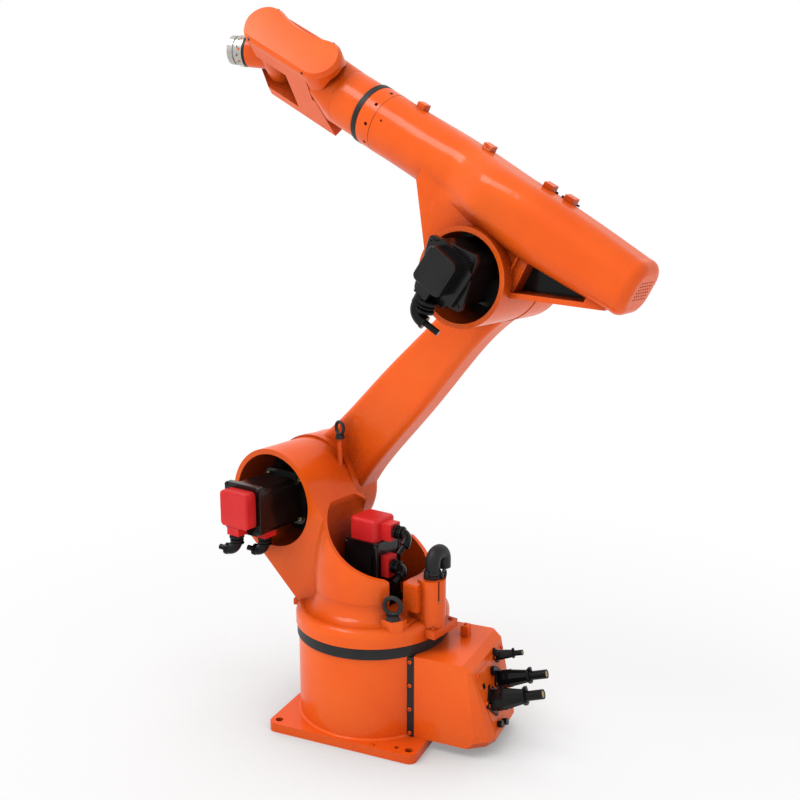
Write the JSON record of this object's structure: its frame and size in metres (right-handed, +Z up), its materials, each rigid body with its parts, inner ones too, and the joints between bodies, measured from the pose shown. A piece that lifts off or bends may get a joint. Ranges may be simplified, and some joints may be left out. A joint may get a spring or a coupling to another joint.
{
  "type": "industrial robot arm",
  "caption": "Floor mounted jointed industrial robot arm with turntable, shoulder, link, forearm, and a wrist with belt cover and bolted tool flange.",
  "frame": {"origin": "centre of the base bolt pattern, on the floor face", "axes": "+Z up along the turntable axis, +X forward and away from the connection box, +Y towards the motor side"},
  "size_m": [0.8044, 0.3865, 1.2735],
  "materials": {
    "orange_paint": "satin",
    "black_seal": "matte",
    "motor_black": "satin",
    "red_cap": "gloss",
    "plug_black": "satin",
    "eye_black": "satin",
    "flange_steel": "brushed"
  },
  "bodies": {
    "base": {"base_frame": "orange_paint", "base_seal_ring": "black_seal", "connection_box": "orange_paint", "box_joint_strips": "black_seal", "base_stop_block": "orange_paint", "cable_plug_small": "plug_black", "cable_plug_middle": "plug_black", "cable_plug_lower": "plug_black", "box_knob": "plug_black", "box_blind_plugs": "plug_black"},
    "turntable": {"turntable_casting": "orange_paint", "turntable_motor": "motor_black", "turntable_motor_cap": "red_cap", "turntable_motor_socket": "red_cap", "turntable_motor_plug_upper": "plug_black", "turntable_motor_plug_lower": "plug_black", "shoulder_motor": "motor_black", "shoulder_motor_cap": "red_cap", "shoulder_motor_socket_front": "red_cap", "shoulder_motor_socket_rear": "red_cap", "shoulder_motor_plug_front": "plug_black", "shoulder_motor_plug_rear": "plug_black", "lifting_eye_upper": "eye_black", "lifting_eye_lower": "eye_black", "hose_elbow": "black_seal"},
    "link_arm": {"shoulder_gear_flange": "orange_paint", "elbow_gear_flange": "orange_paint", "link_casting": "orange_paint"},
    "forearm": {"forearm_casting": "orange_paint", "forearm_collar": "orange_paint", "forearm_rear_cover": "orange_paint", "bracket_panel": "plug_black", "elbow_motor": "motor_black", "elbow_motor_cap": "motor_black", "elbow_motor_socket": "motor_black", "elbow_motor_plug": "plug_black"},
    "wrist_roll": {"wrist_seal_ring": "black_seal", "wrist_fork": "orange_paint", "wrist_belt_cover": "orange_paint"},
    "wrist_hand": {"wrist_hand": "orange_paint", "hand_seal_ring": "black_seal"},
    "tool_flange": {"tool_flange": "flange_steel"}
  },
  "joints": [
    {"name": "axis_1_turntable", "type": "hinge", "parent": "base", "child": "turntable", "pos_m": [0, 0, 0.19], "axis": [0, 0, 1], "range_deg": [-143, 167]},
    {"name": "axis_2_shoulder", "type": "hinge", "parent": "turntable", "child": "link_arm", "pos_m": [0.17607, -0.03742, 0.4], "axis": [0.2079, 0.9781, 0], "range_deg": [-46.4, 198.6]},
    {"name": "axis_3_elbow", "type": "hinge", "parent": "link_arm", "child": "forearm", "pos_m": [-0.22866, 0.0486, 0.8345], "axis": [-0.2079, -0.9781, 0], "range_deg": [-52.3, 120.7]},
    {"name": "axis_4_wrist_roll", "type": "hinge", "parent": "forearm", "child": "wrist_roll", "pos_m": [0.19878, -0.04225, 1.20166], "axis": [0.8645, -0.1837, 0.4679], "range_deg": [-388.5, 311.5]},
    {"name": "axis_5_wrist_bend", "type": "hinge", "parent": "wrist_roll", "child": "wrist_hand", "pos_m": [0.19878, -0.04225, 1.20166], "axis": [-0.1222, 0.8261, 0.5502], "range_deg": [-155.8, 104.2]},
    {"name": "axis_6_flange", "type": "hinge", "parent": "wrist_hand", "child": "tool_flange", "pos_m": [0.28991, -0.03614, 1.21272], "axis": [0.9905, 0.0664, 0.1203], "range_deg": [-350, 350]}
  ]
}
